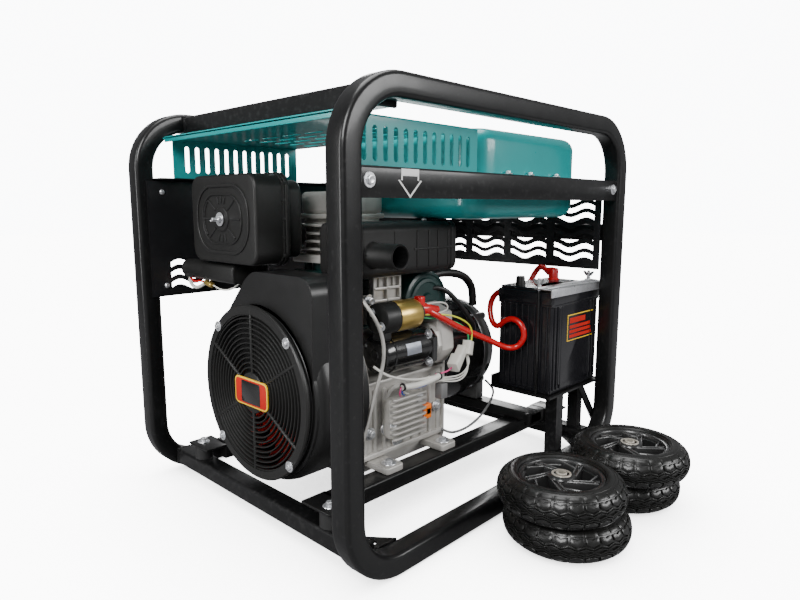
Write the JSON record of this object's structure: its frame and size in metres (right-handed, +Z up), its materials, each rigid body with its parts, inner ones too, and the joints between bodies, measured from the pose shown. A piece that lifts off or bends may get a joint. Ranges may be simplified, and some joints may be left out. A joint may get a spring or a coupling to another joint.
{
  "type": "engine driven welder",
  "caption": "Open-frame diesel engine welder and generator with fuel tank, battery, control panel and a loose transport wheel kit.",
  "frame": {"origin": "on the floor, under the middle of the whole box, the loose wheels included", "axes": "+Z up, +X from the fan end to the alternator end along the crankshaft, +Y towards the control panel side"},
  "size_m": [0.77, 0.8234, 0.69],
  "materials": {
    "frame_black": "glossy powder coat",
    "rubber": "matt",
    "turquoise_paint": "gloss",
    "black_plastic": "fine grain",
    "brass": "yellow passivated",
    "red_plastic": "gloss",
    "cast_aluminium": "as cast",
    "green_paint": "satin",
    "housing_black": "satin",
    "grille_black": "satin",
    "fan_red": "satin",
    "steel": "machined",
    "stator_black": "gloss",
    "end_bell_grey": "as cast",
    "orange_plastic": "moulded",
    "zinc": "zinc plated",
    "muffler_black": "heat proof matt",
    "conduit_black": "satin",
    "battery_black": "moulded",
    "panel_black": "satin",
    "panel_plastic": "moulded",
    "socket_blue": "moulded",
    "tyre_rubber": "moulded",
    "rim_black": "moulded"
  },
  "bodies": {
    "machine": {"frame_loop_right": "frame_black", "frame_loop_left": "frame_black", "front_tubes": "frame_black", "rear_tubes": "frame_black", "rail_right": "frame_black", "rail_left": "frame_black", "gussets": "frame_black", "engine_beams": "frame_black", "battery_tray": "frame_black", "rubber_mounts": "rubber", "fuel_tank": "turquoise_paint", "top_guard": "turquoise_paint", "fuel_cock": "brass", "crankcase": "cast_aluminium", "cylinder_block": "green_paint", "cylinder_head": "cast_aluminium", "blower_housing": "housing_black", "fan_grille": "grille_black", "alternator_case": "stator_black", "alternator_end_bell": "end_bell_grey", "starter_motor": "stator_black", "starter_solenoid": "brass", "regulator": "cast_aluminium", "regulator_plug": "orange_plastic", "injection_pump": "steel", "muffler": "muffler_black", "air_filter_base": "black_plastic", "air_filter_cover": "black_plastic", "conduits": "conduit_black", "red_lead": "red_plastic", "battery_case": "battery_black", "battery_terminals": "red_plastic", "battery_clamp": "zinc", "control_panel": "panel_black", "rear_panel": "panel_black", "panel_fittings": "panel_plastic", "weld_terminals": "brass", "frame_bolts": "zinc", "wheel_sleeves": "steel"},
    "engine_rotor": {"flywheel_fan": "fan_red", "crankshaft": "steel"},
    "fuel_cap": {"fuel_cap": "black_plastic"},
    "cock_lever": {"fuel_cock_lever": "red_plastic"},
    "decomp_lever": {"decompression_lever": "black_plastic"},
    "dipstick": {"dipstick": "orange_plastic"},
    "speed_lever": {"speed_lever": "zinc"},
    "wing_nut": {"filter_wing_nut": "zinc"},
    "start_key": {"start_key": "zinc"},
    "current_knob": {"current_knob": "black_plastic"},
    "breaker_toggle": {"breaker_toggle": "red_plastic"},
    "socket_flap_1": {"socket_flap_1": "socket_blue"},
    "socket_flap_2": {"socket_flap_2": "socket_blue"},
    "wheel_1": {"tyre_1": "tyre_rubber", "rim_1": "rim_black"},
    "wheel_2": {"tyre_2": "tyre_rubber", "rim_2": "rim_black"},
    "wheel_3": {"tyre_3": "tyre_rubber", "rim_3": "rim_black"},
    "wheel_4": {"tyre_4": "tyre_rubber", "rim_4": "rim_black"}
  },
  "joints": [
    {"name": "engine_spin", "type": "hinge", "parent": "machine", "child": "engine_rotor", "pos_m": [0, 0.11425, 0.216], "axis": [1, 0, 0], "continuous": true},
    {"name": "fuel_cap_turn", "type": "hinge", "parent": "machine", "child": "fuel_cap", "pos_m": [0.135, 0.07475, 0.66], "axis": [0, 0, 1], "range_deg": [0, 90]},
    {"name": "fuel_cock_turn", "type": "hinge", "parent": "machine", "child": "cock_lever", "pos_m": [0.01, 0.25025, 0.466], "axis": [0, 1, 0], "range_deg": [0, 90]},
    {"name": "decompression_swing", "type": "hinge", "parent": "machine", "child": "decomp_lever", "pos_m": [-0.085, 0.12425, 0.55], "axis": [0, 0, 1], "range_deg": [0, 45]},
    {"name": "dipstick_unscrew", "type": "hinge", "parent": "machine", "child": "dipstick", "pos_m": [-0.15, 0.24425, 0.13], "axis": [0, 1, 0], "continuous": true},
    {"name": "speed_lever_swing", "type": "hinge", "parent": "machine", "child": "speed_lever", "pos_m": [-0.11, 0.25225, 0.23], "axis": [0, 1, 0], "range_deg": [-20, 20]},
    {"name": "wing_nut_turn", "type": "hinge", "parent": "machine", "child": "wing_nut", "pos_m": [-0.333, 0.18925, 0.498], "axis": [1, 0, 0], "continuous": true},
    {"name": "key_turn", "type": "hinge", "parent": "machine", "child": "start_key", "pos_m": [-0.28, 0.38775, 0.488], "axis": [0, 1, 0], "range_deg": [0, 90]},
    {"name": "current_knob_turn", "type": "hinge", "parent": "machine", "child": "current_knob", "pos_m": [-0.15, 0.38775, 0.488], "axis": [0, 1, 0], "range_deg": [-135, 135]},
    {"name": "breaker_switch", "type": "hinge", "parent": "machine", "child": "breaker_toggle", "pos_m": [-0.04, 0.38475, 0.488], "axis": [1, 0, 0], "range_deg": [0, 30]},
    {"name": "socket_flap_1_lift", "type": "hinge", "parent": "machine", "child": "socket_flap_1", "pos_m": [0.09, 0.39475, 0.497], "axis": [1, 0, 0], "range_deg": [0, 100]},
    {"name": "socket_flap_2_lift", "type": "hinge", "parent": "machine", "child": "socket_flap_2", "pos_m": [0.21, 0.39475, 0.497], "axis": [1, 0, 0], "range_deg": [0, 100]},
    {"name": "wheel_1_spin", "type": "hinge", "parent": "machine", "child": "wheel_1", "pos_m": [-0.024, -0.29475, 0.028], "axis": [0, 0, 1], "continuous": true},
    {"name": "wheel_2_spin", "type": "hinge", "parent": "machine", "child": "wheel_2", "pos_m": [-0.038, -0.29175, 0.0843], "axis": [0, 0, 1], "continuous": true},
    {"name": "wheel_3_spin", "type": "hinge", "parent": "machine", "child": "wheel_3", "pos_m": [0.18, -0.29275, 0.028], "axis": [0, 0, 1], "continuous": true},
    {"name": "wheel_4_spin", "type": "hinge", "parent": "machine", "child": "wheel_4", "pos_m": [0.164, -0.31175, 0.0843], "axis": [0, 0, 1], "continuous": true}
  ]
}
